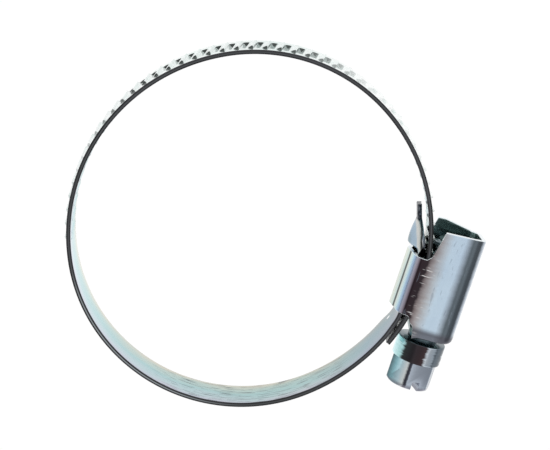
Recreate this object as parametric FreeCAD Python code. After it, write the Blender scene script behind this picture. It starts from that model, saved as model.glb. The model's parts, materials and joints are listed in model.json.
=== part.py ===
"""Worm-drive hose clamp, 9 mm band, drawn at the open end of its range.

Frame: the origin is the centre of the hose that the clamp goes round, +Z is the hose's axis, +X points at
the housing, and the screw lies along Y with its hexagon head towards -Y. Sizes are in millimetres.

The band is one strip of steel on the real clamp. A rigid model can't bend it, so it is drawn as stretches
that are hinged to each other across hairline gaps, from the fixed end round to the threaded end.
"""
import FreeCAD, Part
import math
import os

from FreeCAD import Rotation, Vector

os.makedirs("parts", exist_ok=True)

# --- the hose and the band ----------------------------------------------------------------------------
hose_radius = 28.0          # the largest hose that the open clamp goes over
band_thick = 0.7
band_width = 9.0

# The band's middle line is a chain of tangent arcs. Each ends at a direction, in degrees counted from +X.
thread_arc_radius = 30.6    # from the free tail, through the housing, to the upper right
thread_arc_end = 58.6
top_arc_radius = 28.4
top_arc_end = 116.5
left_arc_radius = 31.4
left_arc_end = 204.5
right_arc_radius = 34.0     # the lower right, where the band leaves the hose
bend_radius = 7.0           # the short bend into the housing
tail_angle = -22.0          # where the free tail ends
hinge_first = 336.0         # the hinge nearest the fixed end
hinge_last = 56.0           # the hinge nearest the threaded end
hinge_count = 10
hinge_gap = 0.05
gap_angle = math.degrees(hinge_gap / 2 / hose_radius)

# --- the pressed thread -------------------------------------------------------------------------------
pitch = 2.3
thread_last_angle = 197.0   # the thread ends here, on the left of the ring
groove_depth = 0.46
groove_floor = 0.85         # width of the groove at its floor
groove_flank = 0.30         # how much each side widens by the time it reaches the surface
press_clearance = 0.12      # the grooves are pressed this much wider than the worm
tail_margin = 2.5           # degrees of plain band at the free tail

# --- the screw ----------------------------------------------------------------------------------------
axis_x = 34.5
worm_radius = 3.6
worm_core_radius = 2.75
worm_crest = 0.55
worm_root = 1.05
worm_top = 9.6
worm_bottom = -5.3
worm_bevel = 0.5            # the thread fades out over this at both ends
ridge_foot = 0.2            # how deep the thread ridge is sunk in the core
neck_radius = 2.6
collar_radius = 4.15
collar_top = -8.1
collar_bottom = -11.7
collar_chamfer = 0.25
hex_flats = 7.0
hex_end = -16.4
hex_turn = 15.8             # how far the hexagon is turned about the screw's axis at rest
hex_face_inset = 0.1        # the end face's chamfer starts this far inside the flats
hex_chamfer = 0.9           # and is this long
hex_chamfer_out = 1.5       # and this wide
slot_width = 1.3
slot_depth = 1.6

# --- the housing --------------------------------------------------------------------------------------
sheet = 0.7
half_outer = 5.3            # half the housing's width
crown_x = 38.9              # the outside of its crown
crown_round = 3.6
skirt_x = 30.05             # where the straight walls turn in, round the band's edges
skirt_round = 2.0
flap_x = 28.03              # the face that lies on the hose
flap_top = 6.4
flap_bottom = -3.5
flap_side = 0.2             # the cuts beside the flaps start this far beyond the skirt
seam = 0.12
housing_top = 11.85
housing_bottom = -6.6
mouth_cut_x = 32.2          # the upper corners of the walls are cut off from the flaps to here
mouth_cut_drop = 0.9        # and stop this far below the top edge
foot_cut_x = 32.3           # the lower corners are cut off to here
foot_cut_rise = 1.2         # and stop this far above the bottom edge
neck_gap = 0.08
beyond = 1.0                # how far the cutting tools reach past what they cut

# --- the fixed end ------------------------------------------------------------------------------------
fixed_gap = 0.02
fixed_half = 3.2            # half the width of the end that the housing's flaps hold
tongue_radius = 13.0        # the tongue curls away from the threaded end
tongue_angle = 24.0
tip_angle = 36.0
tip_half = 1.0
shoulder = 0.35             # the tongue starts to narrow at this share of its height
bend_start = flap_bottom - 0.2
fixed_mid = flap_x + sheet + fixed_gap + band_thick / 2


def heading(angle):
    """Unit vector at an angle in degrees from +X."""
    return Vector(math.cos(math.radians(angle)), math.sin(math.radians(angle)), 0)


def angle_of(vector):
    return math.degrees(math.atan2(vector.y, vector.x)) % 360.0


def meet(centre_a, radius_a, centre_b, radius_b):
    """Where two circles meet, on the right when going from the first centre to the second."""
    across = centre_b - centre_a
    along = (radius_a ** 2 - radius_b ** 2 + across.Length ** 2) / (2 * across.Length)
    height = math.sqrt(radius_a ** 2 - along ** 2)
    unit = across.normalize()
    return centre_a + unit * along + Vector(unit.y, -unit.x, 0) * height


def band_arcs():
    """The arcs of the band's middle line, as (centre, radius, first angle, last angle), tail first."""
    hose = Vector(0, 0, 0)
    mid = hose_radius + band_thick / 2
    left = hose + heading(left_arc_end) * (mid - left_arc_radius)
    top = left + heading(top_arc_end) * (left_arc_radius - top_arc_radius)
    thread = top + heading(thread_arc_end) * (top_arc_radius - thread_arc_radius)
    bend = Vector(fixed_mid - bend_radius, bend_start, 0)
    right = meet(bend, right_arc_radius - bend_radius, hose, right_arc_radius - mid)
    right_start = angle_of(hose - right)
    right_end = angle_of(bend - right)
    return [(thread, thread_arc_radius, tail_angle, thread_arc_end),
            (top, top_arc_radius, thread_arc_end, top_arc_end),
            (left, left_arc_radius, top_arc_end, left_arc_end),
            (hose, mid, left_arc_end, right_start),
            (right, right_arc_radius, right_start, right_end),
            (bend, bend_radius, right_end, 360.0)]


arcs = band_arcs()


def point_at(angle, offset=0.0):
    """The point of the band's middle line at an outward direction, moved outward by the offset."""
    for centre, radius, first, last in arcs:
        if angle <= last:
            break
    return centre + heading(angle) * (radius + offset)


def run(first, last, offset):
    """Edges that follow the band from one angle to another, at an offset from its middle line."""
    edges = []
    for centre, radius, start, end in arcs:
        low = max(first, start)
        high = min(last, end)
        if high - low > 1e-6:
            points = [centre + heading(a) * (radius + offset) for a in (low, (low + high) / 2, high)]
            edges.append(Part.Arc(*points).toShape())
    return edges


def prism(edges, half):
    """A closed outline in the XY plane, thickened to both sides of the ring's middle plane."""
    wire = Part.Wire(Part.__sortEdges__(edges))
    face = Part.Face(wire)
    face.translate(Vector(0, 0, -half))
    return face.extrude(Vector(0, 0, 2 * half))


def line(start, end):
    return Part.LineSegment(start, end).toShape()


def strip(first, last):
    """A plain full-width stretch of band between two angles."""
    half_thick = band_thick / 2
    inner = run(first, last, -half_thick)
    outer = run(first, last, half_thick)
    ends = [line(point_at(a, -half_thick), point_at(a, half_thick)) for a in (first, last)]
    return prism(inner + outer + ends, band_width / 2)


def groove_tool():
    """A disc with a trapezoid rim: what one turn of the worm presses into the band at angle zero."""
    rim = worm_radius + press_clearance
    floor = groove_floor / 2
    surface = floor + groove_flank
    corners = [Vector(0, -surface, 0), Vector(rim - groove_depth, -surface, 0), Vector(rim, -floor, 0),
               Vector(rim, floor, 0), Vector(rim - groove_depth, surface, 0), Vector(0, surface, 0)]
    face = Part.Face(Part.makePolygon(corners + corners[:1]))
    disc = face.revolve(Vector(0, 0, 0), Vector(0, 1, 0), 360)
    lead = math.degrees(math.atan2(pitch, 2 * math.pi * worm_radius))
    disc.rotate(Vector(0, 0, 0), Vector(1, 0, 0), -lead)
    disc.translate(Vector(rim, 0, 0))
    return disc


def groove_angles():
    """Angles of the grooves, one pitch apart along the middle line, from the screw's middle outwards."""
    angles = []
    centre, radius = arcs[0][:2]
    middle = math.degrees(math.asin(-centre.y / radius))
    step = math.degrees(pitch / radius)
    angle = middle
    while angle - step > tail_angle + tail_margin:
        angle -= step
    while angle < thread_last_angle:
        angles.append(angle)
        for centre, radius, first, last in arcs:
            if angle < last:
                break
        angle += math.degrees(pitch / radius)
    return angles


grooves = groove_angles()


def hinge_angles():
    """Hinge angles from the fixed end to the threaded end, each moved to the middle of the nearest land."""
    angles = []
    for index in range(hinge_count):
        angle = hinge_first + (hinge_last - hinge_first) * index / (hinge_count - 1)
        if angle < grooves[-1]:
            after = min(g for g in grooves if g > angle)
            before = max(g for g in grooves if g <= angle)
            angle = (after + before) / 2
        angles.append(angle)
    return angles


hinges = hinge_angles()


def stretch(first, last):
    """A stretch of band between two angles, with the grooves that fall in it."""
    body = strip(first, last)
    tool = groove_tool()
    tools = []
    for angle in grooves:
        if first < angle < last:
            cutter = tool.copy()
            cutter.rotate(Vector(0, 0, 0), Vector(0, 0, 1), angle)
            cutter.translate(point_at(angle, band_thick / 2 - groove_depth))
            tools.append(cutter)
    if tools:
        body = body.cut(tools)
    return body


def fixed_end():
    """The plain end: full width on the hose, narrowed where the flaps hold it, and a tongue beyond them."""
    half_thick = band_thick / 2
    wide = strip(hinges[0] + gap_angle, 360.0)
    held = Part.makeBox(band_thick, flap_top - bend_start, 2 * fixed_half,
                        Vector(fixed_mid - half_thick, bend_start, -fixed_half))
    centre = Vector(fixed_mid - tongue_radius, flap_top, 0)

    def curl(start, end, half):
        faces = []
        for offset in (-half_thick, half_thick):
            points = [centre + heading(a) * (tongue_radius + offset) for a in (start, (start + end) / 2, end)]
            faces.append(Part.Arc(*points).toShape())
        for a in (start, end):
            faces.append(line(centre + heading(a) * (tongue_radius - half_thick),
                              centre + heading(a) * (tongue_radius + half_thick)))
        return prism(faces, half)

    tongue = curl(0.0, tongue_angle, fixed_half)
    reach = tongue_radius * math.sin(math.radians(tongue_angle))
    for side in (-1, 1):
        corners = [Vector(0, flap_top + shoulder * reach, side * (fixed_half + beyond)),
                   Vector(0, flap_top + shoulder * reach, side * fixed_half),
                   Vector(0, flap_top + reach, side * tip_half),
                   Vector(0, flap_top + reach + beyond, side * tip_half),
                   Vector(0, flap_top + reach + beyond, side * (fixed_half + beyond))]
        corner = Part.Face(Part.makePolygon(corners + corners[:1]))
        tongue = tongue.cut(corner.extrude(Vector(fixed_mid + tongue_radius, 0, 0)))
    tip = curl(tongue_angle, tip_angle, tip_half)
    return wide.fuse([held, tongue, tip]).removeSplitter()


def housing_outline(inset):
    """Half of the housing's outline in the XZ plane, from crown to seam, moved in by the inset."""
    half = half_outer - inset
    crown = crown_x - inset
    corner = crown_round - inset
    skirt = skirt_round - inset
    flap = flap_x + inset
    turn = math.sqrt(0.5)
    start = Vector(crown, 0, 0)
    corner_a = Vector(crown, 0, half - corner)
    corner_m = Vector(crown - corner * (1 - turn), 0, half - corner * (1 - turn))
    corner_b = Vector(crown - corner, 0, half)
    skirt_a = Vector(skirt_x, 0, half)
    skirt_m = Vector(skirt_x - skirt * turn, 0, half - skirt * (1 - turn))
    skirt_b = Vector(skirt_x - skirt, 0, half - skirt)
    end = Vector(flap, 0, seam / 2)
    upper_bend = Part.Arc(corner_a, corner_m, corner_b).toShape()
    lower_bend = Part.Arc(skirt_a, skirt_m, skirt_b).toShape()
    return [line(start, corner_a), upper_bend, line(corner_b, skirt_a), lower_bend, line(skirt_b, end)]


def housing_corners():
    """Prisms that cut the walls' corners off: the flaps are shorter than the arch above them."""
    far = half_outer + beyond
    inside = hose_radius - beyond
    turn = skirt_x + flap_side
    top = housing_top + beyond
    bottom = housing_bottom - beyond
    upper = [(inside, flap_top), (turn, flap_top), (mouth_cut_x, housing_top - mouth_cut_drop),
             (mouth_cut_x + flap_side, top), (inside, top)]
    lower = [(inside, flap_bottom), (turn, flap_bottom),
             (foot_cut_x - flap_side, housing_bottom + foot_cut_rise), (foot_cut_x, bottom), (inside, bottom)]
    prisms = []
    for outline in (upper, lower):
        corners = [Vector(x, y, -far) for x, y in outline]
        prisms.append(Part.Face(Part.makePolygon(corners + corners[:1])).extrude(Vector(0, 0, 2 * far)))
    return prisms


def both_halves(outline, start, length):
    """A half outline swept along Y, with its mirror image across the ring's middle plane."""
    face = Part.Face(Part.Wire(Part.__sortEdges__(outline)))
    face.translate(Vector(0, start, 0))
    half = face.extrude(Vector(0, length, 0))
    return half.fuse(half.mirror(Vector(0, 0, 0), Vector(0, 0, 1)))


def housing():
    """The folded cover: an arch over the worm, whose walls turn in under the band and butt at a seam."""
    outer = housing_outline(0.0)
    inner = housing_outline(sheet)
    flap_inside = Vector(flap_x + sheet, 0, seam / 2)
    crown_inside = Vector(crown_x - sheet, 0, 0)
    ends = [line(Vector(flap_x, 0, seam / 2), flap_inside), line(crown_inside, Vector(crown_x, 0, 0))]
    shell = both_halves(outer + inner + ends, housing_bottom, housing_top - housing_bottom)

    # the lower end is closed round the screw's neck, which holds the screw along its axis
    middle = Vector(flap_x + sheet, 0, 0)
    closed = inner + [line(flap_inside, middle), line(middle, crown_inside)]
    plug = both_halves(closed, housing_bottom, sheet)

    hole = Part.makeCylinder(neck_radius + neck_gap, sheet + 2 * beyond,
                             Vector(axis_x, housing_bottom - beyond, 0), Vector(0, 1, 0))
    return shell.fuse(plug).cut(housing_corners() + [hole]).removeSplitter()


def worm_thread():
    """The worm's right-hand thread ridge, as a solid along Y."""
    turns = (worm_top - worm_bottom) / pitch + 1
    helix = Part.makeHelix(pitch, turns * pitch, worm_core_radius)
    base = worm_core_radius - ridge_foot
    profile = Part.makePolygon([Vector(base, 0, -worm_root / 2), Vector(worm_radius, 0, -worm_crest / 2),
                                Vector(worm_radius, 0, worm_crest / 2), Vector(base, 0, worm_root / 2),
                                Vector(base, 0, -worm_root / 2)])
    pipe = Part.BRepOffsetAPI.MakePipeShell(Part.Wire(helix))
    pipe.setFrenetMode(True)
    pipe.add(profile)
    pipe.build()
    pipe.makeSolid()
    ridge = pipe.shape()
    # the helix stands on Z and starts at +X: lay it along Y with its start on the band's side
    ridge.rotate(Vector(0, 0, 0), Vector(1, 0, 0), -90)
    return ridge


def worm_start():
    """Where the thread starts along Y, so that a crest faces the middle of the band's groove at y = 0."""
    return -pitch * math.ceil(-worm_bottom / pitch + 0.5)


def rod(radius, bottom, top):
    """A cylinder on the screw's axis."""
    return Part.makeCylinder(radius, top - bottom, Vector(axis_x, bottom, 0), Vector(0, 1, 0))


def cone(low_radius, high_radius, bottom, top):
    """A truncated cone on the screw's axis."""
    return Part.makeCone(low_radius, high_radius, top - bottom, Vector(axis_x, bottom, 0), Vector(0, 1, 0))


def worm():
    """The core and its thread, which fades out at both ends."""
    ridge = worm_thread()
    ridge.rotate(Vector(0, 0, 0), Vector(0, 1, 0), 180)
    ridge.translate(Vector(axis_x, worm_start(), 0))
    slim = worm_radius - worm_bevel
    full = worm_radius + press_clearance
    low = worm_bottom + worm_bevel
    high = worm_top - worm_bevel
    ends = [cone(slim, full, worm_bottom, low), cone(full, slim, high, worm_top)]
    envelope = rod(full, low, high).fuse(ends)
    return rod(worm_core_radius, worm_bottom, worm_top).fuse(ridge.common(envelope))


def hexagon():
    """The slotted hexagon head, its end rounded off."""
    circum = hex_flats / math.sqrt(3)
    corners = []
    for index in range(6):
        turn = math.radians(60 * index - hex_turn)
        corners.append(Vector(axis_x + circum * math.cos(turn), hex_end, circum * math.sin(turn)))
    head = Part.Face(Part.makePolygon(corners + corners[:1])).extrude(Vector(0, collar_bottom - hex_end, 0))
    small = hex_flats / 2 - hex_face_inset
    wide = small + hex_chamfer_out
    end = cone(small, wide, hex_end, hex_end + hex_chamfer)
    head = head.common(end.fuse(rod(wide, hex_end + hex_chamfer, collar_bottom)))
    slot = Part.makeBox(slot_width, slot_depth, 2 * hex_flats, Vector(-slot_width / 2, 0, -hex_flats))
    slot.rotate(Vector(0, 0, 0), Vector(0, 1, 0), hex_turn)
    slot.translate(Vector(axis_x, hex_end, 0))
    return head.cut(slot)


def screw():
    """Worm, neck, collar and slotted hexagon, turned from one piece."""
    neck = rod(neck_radius, collar_top, worm_bottom)
    collar = rod(collar_radius, collar_bottom, collar_top)
    rims = [edge for edge in collar.Edges if len(edge.Vertexes) == 1]
    collar = collar.makeChamfer(collar_chamfer, rims)
    return worm().fuse([neck, collar, hexagon()]).removeSplitter()


def write(name, shape):
    """Saves one piece, which has to be a single solid."""
    print(name, "solids", len(shape.Solids), "valid", shape.isValid(), "volume", round(shape.Volume, 1))
    shape.Solids[0].exportStep("parts/" + name + ".step")


write("housing", housing())
write("band_fixed_end", fixed_end())
for index in range(hinge_count - 1):
    high = hinges[index] - gap_angle
    low = hinges[index + 1] + gap_angle
    write("band_stretch_%d" % (index + 1), stretch(low, high))
write("band_threaded_end", stretch(tail_angle, hinges[-1] - gap_angle))
write("worm_screw", screw())

for index, angle in enumerate(hinges):
    place = point_at(angle)
    print("hinge", index + 1, "angle %.3f at %.4f %.4f" % (angle, place.x, place.y))
print("threaded end turns about %.4f %.4f, radius %.3f" % (arcs[0][0].x, arcs[0][0].y, arcs[0][1]))
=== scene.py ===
# %% [markdown]
# # A worm-drive hose clamp
#
# The clamp is three pieces of zinc-plated steel: a band, a folded housing and a screw. Turning the screw
# pulls the band's pressed thread through the housing, and the ring closes on the hose. The engineering
# model gives the place, the size and the motion of every piece. This script gives them their finished
# surfaces.
#
# The frame is the engineering model's own: the origin is the hose's centre, +Z is the hose's axis, +X
# points at the housing and the screw lies along Y. Blender works in metres, so sizes below are in
# millimetres times MM.

# %% Load the frame
import json
import math

import bmesh
import bpy
import numpy as np
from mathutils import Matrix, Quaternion, Vector


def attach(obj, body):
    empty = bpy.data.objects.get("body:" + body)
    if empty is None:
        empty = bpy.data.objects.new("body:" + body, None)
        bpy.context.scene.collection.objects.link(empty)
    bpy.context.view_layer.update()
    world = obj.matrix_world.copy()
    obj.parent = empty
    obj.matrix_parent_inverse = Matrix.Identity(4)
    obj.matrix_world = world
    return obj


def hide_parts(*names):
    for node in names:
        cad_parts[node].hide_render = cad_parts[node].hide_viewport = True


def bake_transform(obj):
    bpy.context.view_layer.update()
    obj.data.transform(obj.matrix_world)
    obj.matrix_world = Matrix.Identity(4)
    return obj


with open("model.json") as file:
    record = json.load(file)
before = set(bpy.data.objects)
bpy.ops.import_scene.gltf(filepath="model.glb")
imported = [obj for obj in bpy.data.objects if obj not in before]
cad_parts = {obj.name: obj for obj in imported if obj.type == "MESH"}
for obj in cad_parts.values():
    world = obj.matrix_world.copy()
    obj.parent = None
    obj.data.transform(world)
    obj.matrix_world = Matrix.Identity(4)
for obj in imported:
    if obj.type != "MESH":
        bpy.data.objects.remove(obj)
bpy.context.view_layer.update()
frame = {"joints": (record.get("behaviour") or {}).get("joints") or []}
MM = 0.001

# %% [markdown]
# ## The line that the band follows
#
# A strip of steel bent by hand or by a press is close to a chain of arcs that meet smoothly. Each arc
# here has a centre, a radius and two directions, counted in degrees from +X, and the next arc starts
# where it ends. Keeping the line as arcs, and not as loose points, means that any length along it can be
# found exactly.

# %% The arcs of the band's middle line
BAND_THICK = 0.74
BAND_WIDTH = 9.0
HOSE_MIDDLE = 28.35
FIXED_X = 29.10
FLAP_BOTTOM = -3.5
FLAP_TOP = 6.4
BEND_START = FLAP_BOTTOM - 0.2
BEND_RADIUS = 7.0
THREAD_RADIUS, TOP_RADIUS, LEFT_RADIUS, RIGHT_RADIUS = 30.6, 28.4, 31.4, 34.0
TAIL, THREAD_ARC_END, TOP_END, LEFT_END, RING_CLOSED = -22.0, 58.6, 116.5, 204.5, 360.0


def heading(degrees):
    """The unit vector that points in a direction, as a numpy pair."""
    return np.array([math.cos(math.radians(degrees)), math.sin(math.radians(degrees))])


def direction(pair):
    """The direction in degrees in which a pair of numbers points."""
    return math.degrees(math.atan2(pair[1], pair[0])) % 360.0


left_centre = heading(LEFT_END) * (HOSE_MIDDLE - LEFT_RADIUS)
top_centre = left_centre + heading(TOP_END) * (LEFT_RADIUS - TOP_RADIUS)
thread_centre = top_centre + heading(THREAD_ARC_END) * (TOP_RADIUS - THREAD_RADIUS)
bend_centre = np.array([FIXED_X - BEND_RADIUS, BEND_START])
reach = np.linalg.norm(bend_centre)
reach_a, reach_b = RIGHT_RADIUS - BEND_RADIUS, RIGHT_RADIUS - HOSE_MIDDLE
along = (reach_a ** 2 - reach_b ** 2 + reach ** 2) / (2 * reach)
across = math.sqrt(reach_a ** 2 - along ** 2)
unit = -bend_centre / reach
right_centre = bend_centre + unit * along + np.array([unit[1], -unit[0]]) * across
right_start, right_end = direction(-right_centre), direction(bend_centre - right_centre)

ARCS = [(thread_centre, THREAD_RADIUS, TAIL, THREAD_ARC_END),
        (top_centre, TOP_RADIUS, THREAD_ARC_END, TOP_END),
        (left_centre, LEFT_RADIUS, TOP_END, LEFT_END),
        (np.zeros(2), HOSE_MIDDLE, LEFT_END, right_start),
        (right_centre, RIGHT_RADIUS, right_start, right_end),
        (bend_centre, BEND_RADIUS, right_end, RING_CLOSED)]
print("the arcs end at", [round(arc[3], 1) for arc in ARCS], "degrees")

# %% [markdown]
# The line is sampled every quarter of a millimetre and kept as a curve object, because Geometry Nodes can
# read a place and a direction from a curve at any length along it. After the last arc it runs straight
# through the housing's flaps. The tongue past the flaps is a sheet of its own, made further down.


# %% Lengths along the line
def length_at(degrees):
    """The length along the band's middle line, from the free tail, at a direction."""
    total = 0.0
    for centre, radius, first, last in ARCS:
        total += math.radians(min(degrees, last) - first) * radius
        if degrees <= last:
            break
    return total


def place_at(degrees):
    """The point of the middle line at a direction, in mm."""
    for centre, radius, first, last in ARCS:
        if degrees <= last:
            break
    return centre + heading(degrees) * radius


def middle_line(step=0.25):
    """Points of the middle line, from the free tail to the end of the flaps."""
    points = [place_at(TAIL)]
    for centre, radius, first, last in ARCS:
        count = max(2, round(math.radians(last - first) * radius / step))
        points += [centre + heading(first + (last - first) * i / count) * radius for i in range(1, count + 1)]
    straight = FLAP_TOP - BEND_START
    points += [np.array([FIXED_X, BEND_START + step * i]) for i in range(1, round(straight / step))]
    return np.array(points)


LINE = middle_line()
RING_END = length_at(RING_CLOSED)
curve = bpy.data.curves.new("band_line", "CURVE")
curve.dimensions = "3D"
spline = curve.splines.new("POLY")
spline.points.add(len(LINE) - 1)
spline.points.foreach_set("co", np.c_[LINE * MM, np.zeros(len(LINE)), np.ones(len(LINE))].ravel())
band_line = bpy.data.objects.new("band_line", curve)
bpy.context.scene.collection.objects.link(band_line)
print("points on the line:", len(LINE), " length round the ring: %.1f mm" % RING_END)

# %% [markdown]
# ## Small helpers
#
# `mesh_object` turns arrays of points and faces into a mesh object, and `soften` shades a mesh smooth but
# keeps its sharp edges. `node` adds a node to any node tree and links or fills its inputs, and `maths`
# does the same for one step of arithmetic.


# %% Meshes and nodes
def mesh_object(name, points, faces, smooth_angle=35.0):
    """A mesh object from points in mm, smooth except across edges that are sharper than the angle."""
    mesh = bpy.data.meshes.new(name)
    mesh.from_pydata((np.asarray(points) * MM).tolist(), [], [list(map(int, face)) for face in faces])
    mesh.validate()
    made = bpy.data.objects.new(name, mesh)
    bpy.context.scene.collection.objects.link(made)
    soften(made, smooth_angle)
    return made


def soften(made, smooth_angle=35.0):
    """Smooth shading, except across edges that are sharper than the angle."""
    made.data.shade_smooth()
    made.data.set_sharp_from_angle(angle=math.radians(smooth_angle))


def node(tree, kind, inputs=None, **settings):
    """Adds a node. An input that is another node's socket is linked, and any other is its value."""
    made = tree.nodes.new(kind)
    for key, value in settings.items():
        setattr(made, key, value)
    for key, value in (inputs or {}).items():
        if isinstance(value, bpy.types.NodeSocket):
            tree.links.new(value, made.inputs[key])
        else:
            made.inputs[key].default_value = value
    return made


def maths(tree, operation, *values):
    """One step of arithmetic on numbers or sockets."""
    return node(tree, "ShaderNodeMath", dict(enumerate(values)), operation=operation).outputs[0]


print("helpers: mesh_object, soften, node, maths")

# %% [markdown]
# ## The pressed thread
#
# A press forms the thread: across the middle of the band it pushes each turn down as a V and raises a
# smaller ridge beside it, while plain rims stay along both edges. The worm's thread is a helix, so the
# pressed pattern leans by the helix's lead angle. One pitch of this band is a tile, and the whole thread
# is that tile repeated.
#
# The tile could be cut with Booleans, but a height rule on a grid gives rounded bottoms, steep ends and a
# back that follows the front, with no slivers. Distances in the rule wrap round the tile's border, so the
# pattern may cross it. The whole pattern sits half a millimetre along the band from the engineering
# model's grooves, and the worm further down is shifted with it, so the two shown threads still fit each
# other.

# %% The height rule
PITCH = 2.3
WORM_RADIUS = 3.6
LEAN = PITCH / (2 * math.pi * WORM_RADIUS)
TILE_START = 0.757
GROOVE_HALF, GROOVE_DEPTH = 0.56, 0.60
RIDGE_PLACE, RIDGE_STEEP, RIDGE_GENTLE, RIDGE_HEIGHT = 0.66, 0.16, 0.90, 0.42
THREAD_SHIFT = -0.50
INNER_SHARE = 0.30
FAR_END, NEAR_END, END_RUN = -2.75, 2.95, 0.22
TOP_ROUNDING = 0.12


def ease(value):
    """Zero below zero, one above one and smooth between."""
    t = np.clip(value, 0.0, 1.0)
    return t * t * (3 - 2 * t)


def wedge(distance, before, after):
    """One in the middle and zero at both ends, with straight flanks and a slightly rounded top."""
    distance = (distance + PITCH / 2) % PITCH - PITCH / 2
    slope = np.clip(1 - np.abs(distance) / np.where(distance < 0, before, after), 0.0, 1.0)
    return slope * (1 - TOP_ROUNDING * slope ** 4) / (1 - TOP_ROUNDING)


def press_height(along, across):
    """How far the press moved the outer face, in mm, from the tile's own length and the band's width."""
    groove = wedge(along - TILE_START - LEAN * across, GROOVE_HALF, GROOVE_HALF)
    ridge = wedge(along - TILE_START - RIDGE_PLACE - LEAN * across, RIDGE_STEEP, RIDGE_GENTLE)
    inside = ease((across - FAR_END) / END_RUN) * ease((NEAR_END - across) / END_RUN)
    return inside * (RIDGE_HEIGHT * ridge - GROOVE_DEPTH * groove)


grid = press_height(*np.meshgrid(np.linspace(0, PITCH, 93), np.linspace(-4, 4, 161)))
print("pressed from %.2f to %.2f mm" % (grid.min(), grid.max()))
print("leaning %.1f degrees" % math.degrees(math.atan(LEAN)))

# %% [markdown]
# The tile is the band's whole cross-section, swept over one pitch: the outer face, the two rounded edges
# and the inner face. It lies flat, with its length on X, its thickness on Y and its width on Z, and both
# of its ends are open so that tiles join. Plain stretches of band use a tile with the same cross-section
# and no pattern, so a threaded run and a plain run meet point for point.

# %% The cross-section and the tiles
OUTER_Z = np.r_[np.linspace(-4.38, -3.0, 6), np.linspace(-2.8, -2.4, 7), np.linspace(-2.1, 2.4, 14),
                np.linspace(2.6, 3.05, 7), np.linspace(3.3, 4.38, 5)]
INNER_Z = np.linspace(4.38, -4.38, 15)
EDGE_ROUND = 0.08
NUDGE = 0.02


def rim_points():
    """The rounded edge on the +Z side, from the outer face to the inner face, as (thickness, width) pairs."""
    points = []
    for centre, start in ((BAND_THICK / 2 - EDGE_ROUND, 90.0), (EDGE_ROUND - BAND_THICK / 2, 0.0)):
        for turn in (start - 30.0, start - 60.0, start - 90.0) if start else (0.0, -30.0, -60.0):
            lift, side = heading(turn)[1], heading(turn)[0]
            points.append((centre + EDGE_ROUND * lift, BAND_WIDTH / 2 - EDGE_ROUND * (1 - side)))
    return points


def section():
    """The closed cross-section as (thickness, width, kind), kind being 1 outside, 0 inside, 0.5 on rims."""
    rim = rim_points()
    half = BAND_THICK / 2
    loop = [(half, z, 1.0) for z in OUTER_Z] + [(n, z, 0.5) for n, z in rim]
    loop += [(-half, z, 0.0) for z in INNER_Z] + [(n, -z, 0.5) for n, z in reversed(rim)]
    return np.array(loop)


def loop_faces(count, size):
    """The faces between neighbouring closed loops of points, where each loop has the same size."""
    return [(i * size + k, i * size + (k + 1) % size, (i + 1) * size + (k + 1) % size, (i + 1) * size + k)
            for i in range(count) for k in range(size)]


def end_faces(last, size):
    """One face over the first loop and one over the last."""
    return [tuple(range(size - 1, -1, -1)), tuple(last * size + k for k in range(size))]


def tile(name, length, rows, pressed):
    """One length of band lying flat and open at both ends, with the pressed pattern or without."""
    loop = section()
    share = np.where(loop[:, 2] == 1.0, 1.0, np.where(loop[:, 2] == 0.0, INNER_SHARE, 0.0))
    points, marks = [], []
    for place in np.linspace(0, length, rows + 1):
        height = press_height(place, loop[:, 1]) if pressed else np.zeros(len(loop))
        points.append(np.c_[np.full(len(loop), place), loop[:, 0] + height * share, loop[:, 1]])
        rise = press_height(place, loop[:, 1] + NUDGE) - press_height(place, loop[:, 1] - NUDGE)
        marks.append(np.c_[loop[:, 2], np.abs(rise) / (2 * NUDGE) if pressed else height])
    size = len(loop)
    made = mesh_object(name, np.concatenate(points), loop_faces(rows, size))
    for label, column in (("side", 0), ("steep", 1)):
        values = made.data.attributes.new(label, "FLOAT", "POINT")
        values.data.foreach_set("value", np.concatenate(marks)[:, column].astype(np.float32))
    return made


thread_tile = tile("thread_tile", PITCH, 28, True)
plain_tile = tile("plain_tile", 1.0, 1, False)
for made in (thread_tile, plain_tile):
    print(made.name, "faces", len(made.data.polygons))

# %% [markdown]
# ## A Geometry Nodes tree that lays tiles along the line
#
# Mesh Line puts one point at the start of each tile, and Instance on Points sets a tile on each. At this
# stage the run is straight. After Realize Instances, every vertex's X is its length along the band, so
# Sample Curve can find the place and the tangent of the band's line there, and Set Position bends the run
# round the ring: thickness goes along the outward normal, which is the tangent crossed with Z, and width
# stays on Z. Merge by Distance closes the joins, and three named attributes keep the straight coordinates
# for the band's finish.


# %% Build the tree
def vector_maths(tree, operation, values, output=0):
    """One step of arithmetic on vectors. Distances and dot products come out as a number, at output 1."""
    return node(tree, "ShaderNodeVectorMath", values, operation=operation).outputs[output]


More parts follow.
